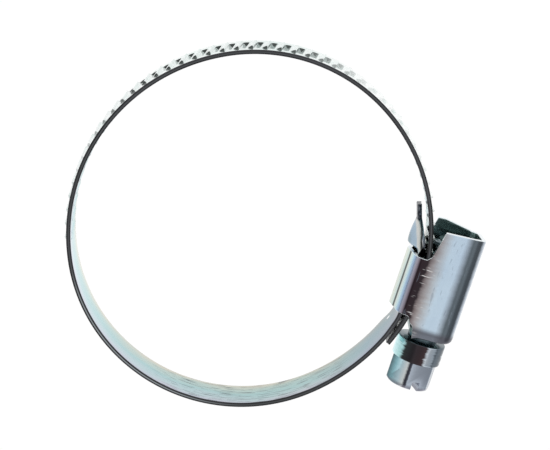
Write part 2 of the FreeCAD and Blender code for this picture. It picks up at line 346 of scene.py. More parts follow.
def tile_run_tree():
    """The tree, and the identifier of each of its inputs by name."""
    tree = bpy.data.node_groups.new("Tile run", "GeometryNodeTree")
    sockets = {}
    for label, kind in (("Tile", "Object"), ("Line", "Object"), ("Count", "Int"), ("Start", "Float"),
                        ("Length", "Float"), ("Stretch", "Float"), ("Finish", "Material")):
        made = tree.interface.new_socket(label, in_out="INPUT", socket_type="NodeSocket" + kind)
        sockets[label] = made.identifier
    tree.interface.new_socket("Band", in_out="OUTPUT", socket_type="NodeSocketGeometry")
    given = node(tree, "NodeGroupInput").outputs
    start = node(tree, "ShaderNodeCombineXYZ", {0: given["Start"]}).outputs[0]
    step = node(tree, "ShaderNodeCombineXYZ", {0: given["Length"]}).outputs[0]
    row = node(tree, "GeometryNodeMeshLine",
               {"Count": given["Count"], "Start Location": start, "Offset": step})
    shape = node(tree, "GeometryNodeObjectInfo", {"Object": given["Tile"]}).outputs["Geometry"]
    size = node(tree, "ShaderNodeCombineXYZ", {0: given["Stretch"], 1: 1.0, 2: 1.0}).outputs[0]
    tiles = node(tree, "GeometryNodeInstanceOnPoints",
                 {"Points": row.outputs["Mesh"], "Instance": shape, "Scale": size}).outputs[0]
    flat = node(tree, "GeometryNodeRealizeInstances", {"Geometry": tiles}).outputs[0]
    position = node(tree, "GeometryNodeInputPosition").outputs[0]
    straight = node(tree, "ShaderNodeSeparateXYZ", {0: position}).outputs
    for label, axis in (("along", 0), ("depth", 1), ("across", 2)):
        kept = node(tree, "GeometryNodeStoreNamedAttribute", {"Geometry": flat, "Name": label})
        tree.links.new(straight[axis], kept.inputs["Value"])
        flat = kept.outputs[0]
    line = node(tree, "GeometryNodeObjectInfo", {"Object": given["Line"]}).outputs["Geometry"]
    found = node(tree, "GeometryNodeSampleCurve", {"Curves": line, "Length": straight[0]}, mode="LENGTH")
    found = found.outputs
    normal = vector_maths(tree, "CROSS_PRODUCT", {0: found["Tangent"], 1: (0, 0, 1)})
    lift = vector_maths(tree, "SCALE", {0: normal, "Scale": straight[1]})
    width = node(tree, "ShaderNodeCombineXYZ", {2: straight[2]}).outputs[0]
    place = vector_maths(tree, "ADD", {0: found["Position"], 1: lift})
    place = vector_maths(tree, "ADD", {0: place, 1: width})
    bent = node(tree, "GeometryNodeSetPosition", {"Geometry": flat, "Position": place}).outputs[0]
    joined = node(tree, "GeometryNodeMergeByDistance", {"Geometry": bent, "Distance": 0.004 * MM}).outputs[0]
    real = node(tree, "GeometryNodeRealizeInstances", {"Geometry": joined}).outputs[0]
    done = node(tree, "GeometryNodeSetMaterial", {"Geometry": real, "Material": given["Finish"]}).outputs[0]
    node(tree, "NodeGroupOutput", {0: done})
    return tree, sockets


tile_tree, tile_sockets = tile_run_tree()
print("nodes in the tree:", len(tile_tree.nodes), " inputs:", ", ".join(tile_sockets))

# %% [markdown]
# ## Finishes
#
# All three pieces are steel with a bright zinc plating and a thin clear passivation film, which tints the
# reflections mint, teal, straw or lilac where it is thicker or thinner. A metallic Principled shader
# makes the reflections, and nodes that read the piece's own coordinates make the tint, the rolling marks
# and the scuffs. The same nodes also paint reflections, highlights and shade into the colour, in fixed
# places on each piece.


# %% Start a finish
def start_finish(name, roughness):
    """A metallic material and its node tree, with the shader's base colour and normal still to be linked."""
    material = bpy.data.materials.new(name)
    material.use_nodes = True
    tree = material.node_tree
    tree.nodes.clear()
    shader = node(tree, "ShaderNodeBsdfPrincipled", {"Metallic": 1.0, "Roughness": roughness})
    node(tree, "ShaderNodeOutputMaterial", {0: shader.outputs[0]})
    return material, tree, shader


def ramp(tree, value, *stops):
    """A colour ramp from (place, colour) stops."""
    made = node(tree, "ShaderNodeValToRGB", {0: value})
    elements = made.color_ramp.elements
    while len(elements) < len(stops):
        elements.new(0.5)
    for element, (place, colour) in zip(elements, stops):
        element.position = place
        element.color = (*colour, 1.0)
    return made.outputs[0]


def in_mm(tree, value):
    """A number in metres as a number in mm."""
    return maths(tree, "MULTIPLY", value, 1 / MM)


def mix(tree, share, first, second, blend="MIX"):
    """Mixes two colours, each a socket or three numbers."""
    values = {0: share}
    for key, value in ((6, first), (7, second)):
        values[key] = value if isinstance(value, bpy.types.NodeSocket) else (*value, 1.0)
    return node(tree, "ShaderNodeMix", values, data_type="RGBA", blend_type=blend).outputs[2]


def noise(tree, vector, scale, detail=3.0):
    """Soft noise from zero to one."""
    return node(tree, "ShaderNodeTexNoise", {"Vector": vector, "Scale": scale, "Detail": detail}).outputs[0]


def between(tree, value, low, high):
    """Zero below the low end, one above the high end and smooth between."""
    values = {0: value, 1: low, 2: high}
    return node(tree, "ShaderNodeMapRange", values, interpolation_type="SMOOTHSTEP").outputs[0]


def bump(tree, shader, height, strength, distance):
    """Roughens the shader's normal by a height."""
    made = node(tree, "ShaderNodeBump", {"Height": height, "Strength": strength, "Distance": distance})
    tree.links.new(made.outputs[0], shader.inputs["Normal"])


print("helpers: start_finish, ramp, in_mm, mix, noise, between, bump")

# %% [markdown]
# The band's finish reads the attributes that the tiles carry. `side` tells the outer face from the inner
# face and the sheared rims, `steep` marks the thread's steep end walls, and `along`, `depth` and `across`
# are the straight coordinates. The inner face goes from straw at the far rim over teal to lilac at the
# near one; painted shade greys it towards the housing and darkens the free tail, and a painted highlight
# brightens it part way round. The outer face has painted shade, greyer over the top of the ring. The
# sheared rims are dark, the pressed walls are darkened with painted shade, and short scuffs run along the
# band. A small dent has no shape of its own: it is a painted highlight in a ring of painted shade.


# %% The band's finish
INNER_FILM = ((0.0, (0.64, 0.60, 0.50)), (0.20, (0.46, 0.58, 0.54)), (0.50, (0.34, 0.56, 0.58)),
              (0.80, (0.44, 0.58, 0.63)), (1.0, (0.50, 0.52, 0.62)))
# Painted shade on the inner face towards the housing and at the free tail, and a painted highlight part way
# round the ring.
INNER_LIGHT_AND_SHADE_ALONG = ((0.0, (0.16, 0.13, 0.12)), (0.085, (0.20, 0.18, 0.17)), (0.11, (1.0, 1.0, 1.0)),
               (0.50, (1.0, 1.0, 1.0)), (0.62, (1.25, 1.25, 1.25)), (0.72, (1.0, 1.0, 1.0)),
               (0.89, (0.86, 0.86, 0.82)), (0.925, (0.66, 0.68, 0.68)), (0.955, (0.46, 0.52, 0.60)),
               (0.985, (0.34, 0.40, 0.46)), (1.0, (0.16, 0.20, 0.24)))
# Painted shade on the outer face: greyer over the top of the ring than at its left.
OUTER_SHADE_ALONG = ((0.20, (1.0, 1.0, 1.0)), (0.25, (1.0, 1.0, 1.0)), (0.29, (0.84, 0.89, 0.88)),
               (0.34, (0.78, 0.84, 0.83)), (0.39, (0.88, 0.92, 0.91)), (0.46, (0.97, 0.98, 0.98)))
# How strongly painted shade darkens the thread's steep pressed walls on the outer face, by place round the
# ring.
WALL_SHADE_ALONG = ((0.235, (0.0, 0.0, 0.0)), (0.26, (0.25, 0.25, 0.25)), (0.28, (0.60, 0.60, 0.60)),
              (0.305, (0.95, 0.95, 0.95)), (0.35, (1.0, 1.0, 1.0)), (0.45, (1.0, 1.0, 1.0)),
              (0.50, (0.50, 0.50, 0.50)), (0.53, (0.0, 0.0, 0.0)))
# A dent with no shape of its own: a painted highlight in a ring of painted shade, on the inner face.
DENT_GLINT_PLACE = (length_at(341.0) * MM, -2.0 * MM)
DENT_GLINT_HALF, DENT_GLINT_EDGE = 0.6, 1.1
# The same painted shade for the backs of the pressed walls, on the inner face.
INNER_WALL_SHADE_ALONG = ((0.17, (0.55, 0.55, 0.55)), (0.19, (0.0, 0.0, 0.0)))


def scaled(tree, vector, *factors):
    """A vector stretched by a factor on each axis."""
    return node(tree, "ShaderNodeMapping", {"Vector": vector, "Scale": factors}).outputs[0]


def band_finish():
    """Film and painted light and shade along the ring, then scuffs, a painted dent, painted shade in the
    pressed walls, and the sheared rims.
    """
    material, tree, shader = start_finish("band_zinc", 0.16)
    read = {name: node(tree, "ShaderNodeAttribute", attribute_name=name).outputs["Fac"]
            for name in ("side", "steep", "along", "depth", "across")}
    flat = node(tree, "ShaderNodeCombineXYZ",
                {0: read["along"], 1: read["across"], 2: read["depth"]}).outputs[0]
    cloud = noise(tree, scaled(tree, flat, 120.0, 260.0, 1.0), 1.0)
    place = maths(tree, "MULTIPLY_ADD", read["across"], 1 / (BAND_WIDTH * MM), 0.5)
    wander = maths(tree, "MULTIPLY_ADD", maths(tree, "SUBTRACT", cloud, 0.5), 0.5, place)
    share = maths(tree, "MULTIPLY", read["along"], 1 / (RING_END * MM))
    # Painted shade and a painted highlight along the ring, on the inner face.
    inner = mix(tree, 1.0, ramp(tree, wander, *INNER_FILM), ramp(tree, share, *INNER_LIGHT_AND_SHADE_ALONG), "MULTIPLY")
    outer = ramp(tree, cloud, (0.30, (0.84, 0.92, 0.90)), (0.70, (1.0, 1.0, 1.0)))
    # Painted shade on the outer face along the ring.
    outer = mix(tree, 1.0, outer, ramp(tree, share, *OUTER_SHADE_ALONG), "MULTIPLY")
    outside = between(tree, read["side"], 0.55, 0.95)
    colour = mix(tree, outside, inner, outer)
    scuffs = between(tree, noise(tree, scaled(tree, flat, 300.0, 3600.0, 1.0), 1.0), 0.565, 0.61)
    worn = maths(tree, "MULTIPLY", between(tree, share, 0.74, 0.78), between(tree, share, 0.95, 0.92))
    worn = maths(tree, "MULTIPLY_ADD", worn, maths(tree, "MULTIPLY_ADD", outside, -0.85, 0.85), 0.06)
    colour = mix(tree, maths(tree, "MULTIPLY", scuffs, worn), colour, (0.05, 0.08, 0.09))
    # How strongly painted shade darkens the steep pressed walls, on either face.
    strength = mix(tree, outside, ramp(tree, share, *INNER_WALL_SHADE_ALONG), ramp(tree, share, *WALL_SHADE_ALONG))
    # A painted highlight in a ring of painted shade, where a small dent would be.
    apart = node(tree, "ShaderNodeCombineXYZ", {0: read["along"], 1: read["across"]}).outputs[0]
    apart = in_mm(tree, vector_maths(tree, "DISTANCE", {0: apart, 1: (*DENT_GLINT_PLACE, 0.0)}, 1))
    dent_glint = ramp(tree, apart, (0.32, (1.0, 1.0, 1.0)), (0.50, (0.10, 0.18, 0.20)),
                (0.75, (0.20, 0.28, 0.30)))
    near_dent_glint = maths(tree, "MULTIPLY", between(tree, apart, DENT_GLINT_EDGE, DENT_GLINT_HALF),
                      maths(tree, "SUBTRACT", 1.0, outside))
    colour = mix(tree, near_dent_glint, colour, dent_glint)
    # Painted shade in the steep pressed walls.
    groove_wall_shade = maths(tree, "MULTIPLY", between(tree, read["steep"], 0.25, 0.9), strength)
    colour = mix(tree, groove_wall_shade, colour, (0.035, 0.045, 0.042))
    rim = between(tree, maths(tree, "ABSOLUTE", maths(tree, "SUBTRACT", read["side"], 0.5)), 0.42, 0.22)
    streaks = noise(tree, scaled(tree, flat, 60.0, 60.0, 5200.0), 1.0, 1.0)
    sheared = ramp(tree, streaks, (0.35, (0.032, 0.033, 0.034)), (0.65, (0.060, 0.060, 0.066)))
    level = in_mm(tree, read["depth"])
    groove = between(tree, maths(tree, "ABSOLUTE", level), 0.13, 0.04)
    double = maths(tree, "MULTIPLY", between(tree, share, 0.62, 0.66), between(tree, share, 0.84, 0.76))
    double = maths(tree, "MULTIPLY", groove, maths(tree, "MULTIPLY_ADD", double, 0.55, 0.12))
    sheared = mix(tree, double, sheared, (0.45, 0.50, 0.52))
    colour = mix(tree, rim, colour, sheared)
    tree.links.new(colour, shader.inputs["Base Color"])
    moved = maths(tree, "ABSOLUTE", maths(tree, "SUBTRACT", level, BAND_THICK / 2))
    pressed = maths(tree, "MULTIPLY", between(tree, moved, 0.03, 0.12),
                    between(tree, read["side"], 0.9, 0.98))
    tree.links.new(maths(tree, "MULTIPLY_ADD", pressed, -0.8, 1.0), shader.inputs["Metallic"])
    bump(tree, shader, noise(tree, scaled(tree, flat, 90.0, 6000.0, 1.0), 1.0, 2.0), 0.12, 0.02 * MM)
    return material


band_zinc = band_finish()
print("nodes in the band's finish:", len(band_zinc.node_tree.nodes))

# %% [markdown]
# ## The band
#
# A rigid engineering model can't bend its band, so it is cut into stretches that hinge on each other.
# The shown band is cut into one piece round each hinge. Piece borders are also tile borders, so the
# pattern never jumps.


# %% Hinges and borders
HINGES = [frame_joint for frame_joint in frame["joints"] if frame_joint["name"].startswith("band_flex_")]
HINGES.sort(key=lambda joint: int(joint["name"].rsplit("_", 1)[1]))
LINKS = ["housing"] + ["band_stretch_%d" % i for i in range(1, len(HINGES))] + ["band_threaded_end"]
THREAD_LAST_DIRECTION = 197.0
SCREW_MIDDLE = math.degrees(math.asin(-thread_centre[1] / THREAD_RADIUS))
THREAD_FIRST = length_at(SCREW_MIDDLE) + THREAD_SHIFT - 3 * PITCH - TILE_START
THREAD_TILES = int((length_at(THREAD_LAST_DIRECTION) - length_at(SCREW_MIDDLE)) / PITCH) + 4
THREAD_LAST = THREAD_FIRST + THREAD_TILES * PITCH


def hinge_direction(joint):
    """The direction at which the middle line passes a hinge."""
    point = np.array(joint["pos_m"][:2]) / MM
    return min(np.arange(TAIL, 360.0, 0.05), key=lambda a: np.linalg.norm(place_at(a) - point))


hinge_directions = [hinge_direction(joint) for joint in HINGES]
borders = [RING_END]
for before, after in zip(hinge_directions, hinge_directions[1:]):
    middle = length_at((before + after) / 2)
    tile_border = THREAD_FIRST + round((middle - THREAD_FIRST) / PITCH) * PITCH
    borders.append(min(tile_border, THREAD_LAST) if middle < THREAD_LAST + 2 else middle)
borders.append(0.0)
print("hinges at", [round(float(a), 1) for a in hinge_directions])
print("borders at", [round(float(b), 1) for b in borders], "mm")
print("thread from %.1f to %.1f mm" % (THREAD_FIRST, THREAD_LAST))

# %% [markdown]
# Each piece is one or two runs of tiles. A run's modifier inputs are set by identifier, the evaluated
# result is copied into a plain mesh, and the helper object is removed. The runs are then welded, and the
# two open ends are closed with a face each.


# %% Lay a run of tiles and close a piece
def lay_run(kind, start, length, count):
    """The plain mesh of a run of tiles."""
    holder = bpy.data.objects.new("run", bpy.data.meshes.new("run"))
    bpy.context.scene.collection.objects.link(holder)
    layer = holder.modifiers.new("Tile run", "NODES")
    layer.node_group = tile_tree
    own = kind.data.vertices[-1].co.x
    each = length * MM / count
    values = {"Tile": kind, "Line": band_line, "Count": count, "Start": start * MM, "Length": each,
              "Stretch": each / own, "Finish": band_zinc}
    for label, value in values.items():
        layer[tile_sockets[label]] = value
    bpy.context.view_layer.update()
    evaluated = holder.evaluated_get(bpy.context.evaluated_depsgraph_get())
    mesh = bpy.data.meshes.new_from_object(evaluated)
    bpy.data.objects.remove(holder)
    return mesh


NARROW_START, NARROW_RUN = RING_END - 5.2, 3.2
FAR_NARROWING, NEAR_NARROWING = 0.27, 0.10


def narrow_held_end(mesh):
    """Narrows the band where it runs into the housing, more on the far side than on the near one."""
    along, points = np.zeros(len(mesh.vertices)), np.zeros(len(mesh.vertices) * 3)
    mesh.attributes["along"].data.foreach_get("value", along)
    mesh.vertices.foreach_get("co", points)
    points = points.reshape(-1, 3)
    share = np.where(points[:, 2] < 0, FAR_NARROWING, NEAR_NARROWING)
    points[:, 2] *= 1 - share * ease((along / MM - NARROW_START) / NARROW_RUN)
    mesh.vertices.foreach_set("co", points.ravel())


def band_piece(name, start, finish):
    """A closed stretch of band between two lengths along its line."""
    runs = []
    pressed_start, pressed_finish = max(start, THREAD_FIRST), min(finish, THREAD_LAST)
    if start < THREAD_FIRST:
        runs.append((plain_tile, start, THREAD_FIRST - start, 2))
    if pressed_finish > pressed_start:
        runs.append((thread_tile, pressed_start, pressed_finish - pressed_start,
                     round((pressed_finish - pressed_start) / PITCH)))
    if finish > THREAD_LAST:
        first = max(start, THREAD_LAST)
        runs.append((plain_tile, first, finish - first, max(1, round((finish - first) / 0.5))))
    shape = bmesh.new()
    for run in runs:
        shape.from_mesh(lay_run(*run))
    bmesh.ops.remove_doubles(shape, verts=shape.verts, dist=0.01 * MM)
    open_edges = [edge for edge in shape.edges if len(edge.link_faces) == 1]
    bmesh.ops.holes_fill(shape, edges=open_edges, sides=0)
    bmesh.ops.recalc_face_normals(shape, faces=shape.faces)
    mesh = bpy.data.meshes.new(name)
    shape.to_mesh(mesh)
    shape.free()
    mesh.materials.append(band_zinc)
    narrow_held_end(mesh)
    made = bpy.data.objects.new(name, mesh)
    bpy.context.scene.collection.objects.link(made)
    soften(made, 50.0)
    return made


# %% [markdown]
# The tiles and the line have done their work after this step, and are removed.

# %% Make the band's pieces, one round each hinge
for index, joint in enumerate(HINGES):
    piece = band_piece("band_piece_%d" % (index + 1), borders[index + 1], borders[index])
    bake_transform(piece)
    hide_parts(LINKS[index + 1])
    print(piece.name, "faces", len(piece.data.polygons), "bends from", LINKS[index], "to", LINKS[index + 1])
for helper in (thread_tile, plain_tile, band_line):
    bpy.data.objects.remove(helper)

# %% [markdown]
# ## Sheets with a rounded rim
#
# The tongue and the housing are sheet metal too, but their outlines vary, so they don't repeat a tile.
# Both are a grid of points on the outer face with the outward direction of each. This helper gives such a
# grid a thickness: it wraps each column round a rounded rim at both ends, closes the first and last
# columns with a face each, and so returns a closed skin.


# %% A sheet from a grid
SHEET = 0.7


def sheet_points(grid, normals, thick=SHEET, rim=0.14):
    """Wraps a (columns, rows, 3) grid of outer points into closed loops, one for each column."""
    def stepped(first, second):
        """Unit vectors from the second points to the first."""
        away = first - second
        return away / np.linalg.norm(away, axis=-1, keepdims=True)
    low, high = stepped(grid[:, 0], grid[:, 1]), stepped(grid[:, -1], grid[:, -2])
    loops = [grid[:, i] for i in range(grid.shape[1])]
    arc = [(math.sin(a), 1 - math.cos(a)) for a in np.radians((30, 60, 90))]
    for out, down in arc:
        loops.append(grid[:, -1] + high * rim * out - normals[:, -1] * rim * down)
    for out, down in reversed(arc):
        loops.append(grid[:, -1] + high * rim * out - normals[:, -1] * (thick - rim * down))
    loops += [grid[:, i] - normals[:, i] * thick for i in range(grid.shape[1] - 1, -1, -1)]
    for out, down in arc:
        loops.append(grid[:, 0] + low * rim * out - normals[:, 0] * (thick - rim * down))
    for out, down in reversed(arc):
        loops.append(grid[:, 0] + low * rim * out - normals[:, 0] * rim * down)
    return np.stack(loops, axis=1)


def sheet_object(name, grid, normals, thick=SHEET, rim=0.14):
    """A closed sheet with an attribute that tells its outer face, its rims and its inner face apart."""
    loops = sheet_points(grid, normals, thick, rim)
    columns, size = loops.shape[:2]
    faces = loop_faces(columns - 1, size) + end_faces(columns - 1, size)
    made = mesh_object(name, loops.reshape(-1, 3), faces, 40.0)
    turn_outward(made)
    rows, rims = grid.shape[1], 3 * 2
    sides = np.r_[np.ones(rows), np.full(rims, 0.5), np.zeros(rows), np.full(rims, 0.5)]
    values = made.data.attributes.new("side", "FLOAT", "POINT")
    values.data.foreach_set("value", np.tile(sides, columns).astype(np.float32))
    return made


def turn_outward(made):
    """Makes every face of a closed mesh look outwards."""
    shape = bmesh.new()
    shape.from_mesh(made.data)
    bmesh.ops.recalc_face_normals(shape, faces=shape.faces)
    shape.to_mesh(made.data)
    shape.free()


print("helpers: sheet_object, turn_outward")

# %% [markdown]
# ## The held end and the tongue
#
# Past the ring the band narrows, runs under the housing's flaps and ends in a tongue that is folded along
# its middle like a leaf, leans straight towards the hose and narrows to a small tab. It is one grid of
# columns. Each has its own place, outward direction and half width, and a fold that pushes the middle of
# the leaf away from the threaded end.

# %% The tongue's grid
HELD_HALF, LEAF_HALF, TIP_HALF = 3.2, 3.6, 0.9
TONGUE_LENGTH, TAB_LENGTH, LEAF_WIDEST = 8.2, 2.4, 1.8
TONGUE_LEAN, LEAN_RUN = 18.5, 1.3
FOLD, TAB_FOLD, FOLD_SHIFT, FOLD_POWER = 2.0, 0.12, 0.20, 1.35
TAPER_POWER = 1.4


def held_line(count=60):
    """(x, y, outward direction in degrees, half width, fold) for each column, from the ring to the tip."""
    columns = []
    for i in range(24):
        y = BEND_START - 0.05 + (FLAP_TOP - BEND_START) * i / 23
        columns.append((FIXED_X, y, 0.0, HELD_HALF, 0.0))
    x, y, step = FIXED_X, FLAP_TOP, TONGUE_LENGTH / count
    for i in range(1, count + 1):
        length = step * i
        turn = TONGUE_LEAN * min(1.0, length / LEAN_RUN)
        x -= step * math.sin(math.radians(turn))
        y += step * math.cos(math.radians(turn))
        run = (length - LEAF_WIDEST) / (TONGUE_LENGTH - TAB_LENGTH - LEAF_WIDEST)
        tapered = np.clip(run, 0.0, 1.0) ** TAPER_POWER
        swollen = float(ease(length / LEAF_WIDEST))
        half = HELD_HALF + (LEAF_HALF - HELD_HALF) * swollen - (LEAF_HALF - TIP_HALF) * tapered
        columns.append((x, y, turn, half, FOLD * swollen - (FOLD - TAB_FOLD) * tapered))
    return columns


def tongue():
    """The held end and the tongue as one closed sheet."""
    grid, normals = [], []
    for x, y, turn, half, fold in held_line():
        out = np.array([*heading(turn), 0.0])
        row, facing = [], []
        for share in np.linspace(-1, 1, 25):
            drop = fold * (1 - abs(share) ** FOLD_POWER)
            slope = fold * FOLD_POWER * np.sign(share) * abs(share) ** (FOLD_POWER - 1) / half
            lift = BAND_THICK / 2 - drop + FOLD_SHIFT * fold
            row.append(np.array([x, y, share * half]) + out * lift)
            lean = out - np.array([0, 0, slope])
            facing.append(lean / np.linalg.norm(lean))
        grid.append(row)
        normals.append(facing)
    return sheet_object("tongue", np.array(grid), np.array(normals), BAND_THICK, 0.12)


tongue_piece = tongue()
print("tongue: faces", len(tongue_piece.data.polygons))

# %% [markdown]
# ## The housing
#
# The housing is one blank folded into an arch: two flaps that nearly meet on the hose's side, two rounded
# skirts round the band's edges, two flat walls and a crown over the worm. The cross-section is a profile
# that runs from flap to flap, and each of its points has its own lower and upper limit along the screw,
# which gives the short flaps, the slanting corners and the arch's ends. The lower end is pressed inwards
# over the screw's neck.

# %% The housing's profile and limits
AXIS_X = 34.5
HALF_OUTER, CROWN_X, CROWN_ROUND = 5.3, 38.9, 2.2
SKIRT_X, SKIRT_ROUND = 30.05, 2.0
SEAM_X, SEAM_HALF = 27.2, 0.10
FAR_DROP, FAR_FORWARD = 1.1, 0.8
# Each of these is a change in the outline's height: where it starts, how far it runs, and how high it goes.
FAR_FALL = (32.5, 5.0, FAR_DROP)
SKIRT_RISE, CORNER_RISE, WALL_RISE = (30.2, 0.8, 0.6), (30.95, 1.05, 4.7), (32.0, 5.8, 0.40)
SKIRT_FALL, CORNER_FALL, WALL_LIFT = (30.1, 1.2, -1.3), (31.3, 0.9, -2.3), (32.3, 6.5, 0.35)


def half_profile():
    """(x, z, normal x, normal z) from the seam to the middle of the crown, in mm."""
    points = []
    skirt_end = (SKIRT_X - SKIRT_ROUND, HALF_OUTER - SKIRT_ROUND)
    run = np.array([skirt_end[0] - SEAM_X, skirt_end[1] - SEAM_HALF])
    flap = np.array([-run[1], run[0]]) / np.linalg.norm(run)
    for t in np.linspace(0, 1, 12)[:-1]:
        lean = flap * (1 - ease(t * 1.2 - 0.2)) + np.array([-1.0, 0.0]) * ease(t * 1.2 - 0.2)
        points.append((SEAM_X + run[0] * t, SEAM_HALF + run[1] * t, *lean / np.linalg.norm(lean)))
    for a in np.linspace(0, 90, 15):
        s, c = math.sin(math.radians(a)), math.cos(math.radians(a))
        points.append((SKIRT_X - SKIRT_ROUND * c, HALF_OUTER - SKIRT_ROUND + SKIRT_ROUND * s, -c, s))
    wall_end = CROWN_X - CROWN_ROUND
    for x in np.r_[np.linspace(SKIRT_X, 33.0, 25)[1:], np.linspace(33.0, wall_end, 8)[1:]]:
        points.append((x, HALF_OUTER, 0.0, 1.0))
    for a in np.linspace(90, 0, 19)[1:]:
        s, c = math.sin(math.radians(a)), math.cos(math.radians(a))
        points.append((wall_end + CROWN_ROUND * c, HALF_OUTER - CROWN_ROUND + CROWN_ROUND * s, c, s))
    points += [(CROWN_X, z, 1.0, 0.0) for z in (1.0, 0.0)]
    return np.array(points)


def straight_step(x, step):
    """A change in height along a straight slope."""
    start, run, height = step
    return height * float(np.clip((x - start) / run, 0, 1))


def eased_step(x, step):
    """A change in height along a smooth S."""
    start, run, height = step
    return height * ease((x - start) / run)


def upper_limit(x, z=HALF_OUTER):
    """Where the sheet ends at the top: the flap, the slanting corner and the arch, lower on the far side."""
    far = 0.5 - z / (2 * HALF_OUTER)
    sunk = far * straight_step(x, FAR_FALL)
    x += FAR_FORWARD * far
    corner = FLAP_TOP + eased_step(x, SKIRT_RISE) + straight_step(x, CORNER_RISE)
    return corner + straight_step(x, WALL_RISE) - sunk


def lower_limit(x):
    """Where the sheet ends at the bottom, the same on both sides."""
    return FLAP_BOTTOM + eased_step(x, SKIRT_FALL) + eased_step(x, CORNER_FALL) + straight_step(x, WALL_LIFT)


half = half_profile()
PROFILE = np.r_[half, (half * np.array([1, -1, 1, -1]))[-2::-1]]
print("profile points:", len(PROFILE), " top at the crown %.2f mm" % upper_limit(CROWN_X))

# %% [markdown]
# The rows of the grid are closer together at the ends, where the shape turns. Near the lower end each
# point moves inwards along a quarter circle, by an amount that fades out towards the flaps.

# %% Build the housing
LOWER_CURL, CURL_FROM, CURL_RUN = 0.95, 31.9, 1.2
END_INSET, END_INNER_X, END_RADIUS = 0.75, 31.4, 4.9
NECK_HOLE, END_LOW, END_THICK = 2.68, -6.35, 0.65


def housing():
    """The folded blank as one closed sheet."""
    shares = np.r_[np.linspace(0, 0.012, 5), 0.03, 0.06, np.linspace(0.09, 0.97, 23), 0.985, 1.0]
    grid, normals = [], []
    for x, z, nx, nz in PROFILE:
        low, high = float(lower_limit(x)), float(upper_limit(x, z))
        curl = LOWER_CURL * float(ease((x - CURL_FROM) / CURL_RUN))
        row, facing = [], []
        for share in shares:
            y = low + (high - low) * share
            rise = float(np.clip((y - low) / LOWER_CURL, 0, 1))
            inset = curl * (1 - math.sqrt(max(0.0, 1 - (1 - rise) ** 2)))
            lean = -curl / LOWER_CURL * (1 - rise)
            level = math.sqrt(max(0.02, 1 - min(lean * lean, 0.98)))
            out = np.array([nx * level, lean, nz * level])
            row.append(np.array([x - nx * inset, y, z - nz * inset]))
            facing.append(out / np.linalg.norm(out))
        grid.append(row)
        normals.append(facing)
    return sheet_object("housing_shell", np.array(grid), np.array(normals), SHEET, 0.10)


def neck_plate():
    """The flat end inside the curl, with the hole for the screw's neck."""
    turns = np.linspace(0, 2 * math.pi, 65)[:-1]
    loops = []
    for turn in turns:
        c, s = math.cos(turn), math.sin(turn)
        room = CROWN_X - END_INSET - AXIS_X if c > 0 else AXIS_X - END_INNER_X
        reach = min(room / max(abs(c), 1e-6), (HALF_OUTER - END_INSET) / max(abs(s), 1e-6), END_RADIUS)
        outer = np.array([AXIS_X + reach * c, END_LOW, reach * s])
        inner = np.array([AXIS_X + NECK_HOLE * c, END_LOW, NECK_HOLE * s])
        loops.append([inner, outer, outer + [0, END_THICK, 0], inner + [0, END_THICK, 0]])
    size = len(turns)
    faces = [(i * 4 + k, ((i + 1) % size) * 4 + k, ((i + 1) % size) * 4 + (k + 1) % 4, i * 4 + (k + 1) % 4)
             for i in range(size) for k in range(4)]
    made = mesh_object("housing_end", np.array(loops).reshape(-1, 3), faces)
    turn_outward(made)
    return made


housing_shell, housing_end = housing(), neck_plate()
print("housing: faces", len(housing_shell.data.polygons), "+", len(housing_end.data.polygons))

# %% [markdown]
# ## The screw
#
# Worm, neck and collar are turned, so a surface of revolution round the screw's axis makes them. The
# worm's ridge is the same surface with a radius that also depends on the turn, which is all that a helix
# is. The hexagon is a prism: its end is rounded by keeping only what is inside a turned blank, and a box
# cuts the slot.

# %% Turned shapes
WORM_BOTTOM, WORM_TOP, WORM_CORE, WORM_FADE = -5.3, 9.6, 2.75, 0.5
RIDGE_RISE, RIDGE_FOOT, RIDGE_FLANK = 0.85, 0.56, 0.28
NECK_TOP, NECK_RADIUS = -5.4, 2.6
COLLAR_TOP, COLLAR_BOTTOM, COLLAR_RADIUS = -8.1, -11.7, 4.15
COLLAR_EDGE = ((0.0, 0.30), (0.04, 0.13), (0.14, 0.03), (0.28, 0.0))


def turned(name, stations, radius_rule=None, around=96):
    """A closed surface of revolution along Y from (y, radius) stations. The rule may add to the radius."""
    points = []
    for y, radius in stations:
        for k in range(around):
            turn = 2 * math.pi * k / around
            r = radius + (radius_rule(y, turn) if radius_rule else 0.0)
            points.append((AXIS_X + r * math.sin(turn), y, r * math.cos(turn)))
    faces = loop_faces(len(stations) - 1, around) + end_faces(len(stations) - 1, around)
    made = mesh_object(name, points, faces, 40.0)
    turn_outward(made)
    return made


def worm_ridge(y, turn):
    """The right-hand ridge of the worm, which starts on the band's side."""
    climbed = PITCH * (turn + math.pi / 2) / (2 * math.pi)
    place = (y - THREAD_SHIFT - climbed + PITCH / 2) % PITCH - PITCH / 2
    fade = ease((y - WORM_BOTTOM) / WORM_FADE) * ease((WORM_TOP - y) / WORM_FADE)
    return RIDGE_RISE * float(fade) * float(np.clip((RIDGE_FOOT - abs(place)) / RIDGE_FLANK, 0, 1))


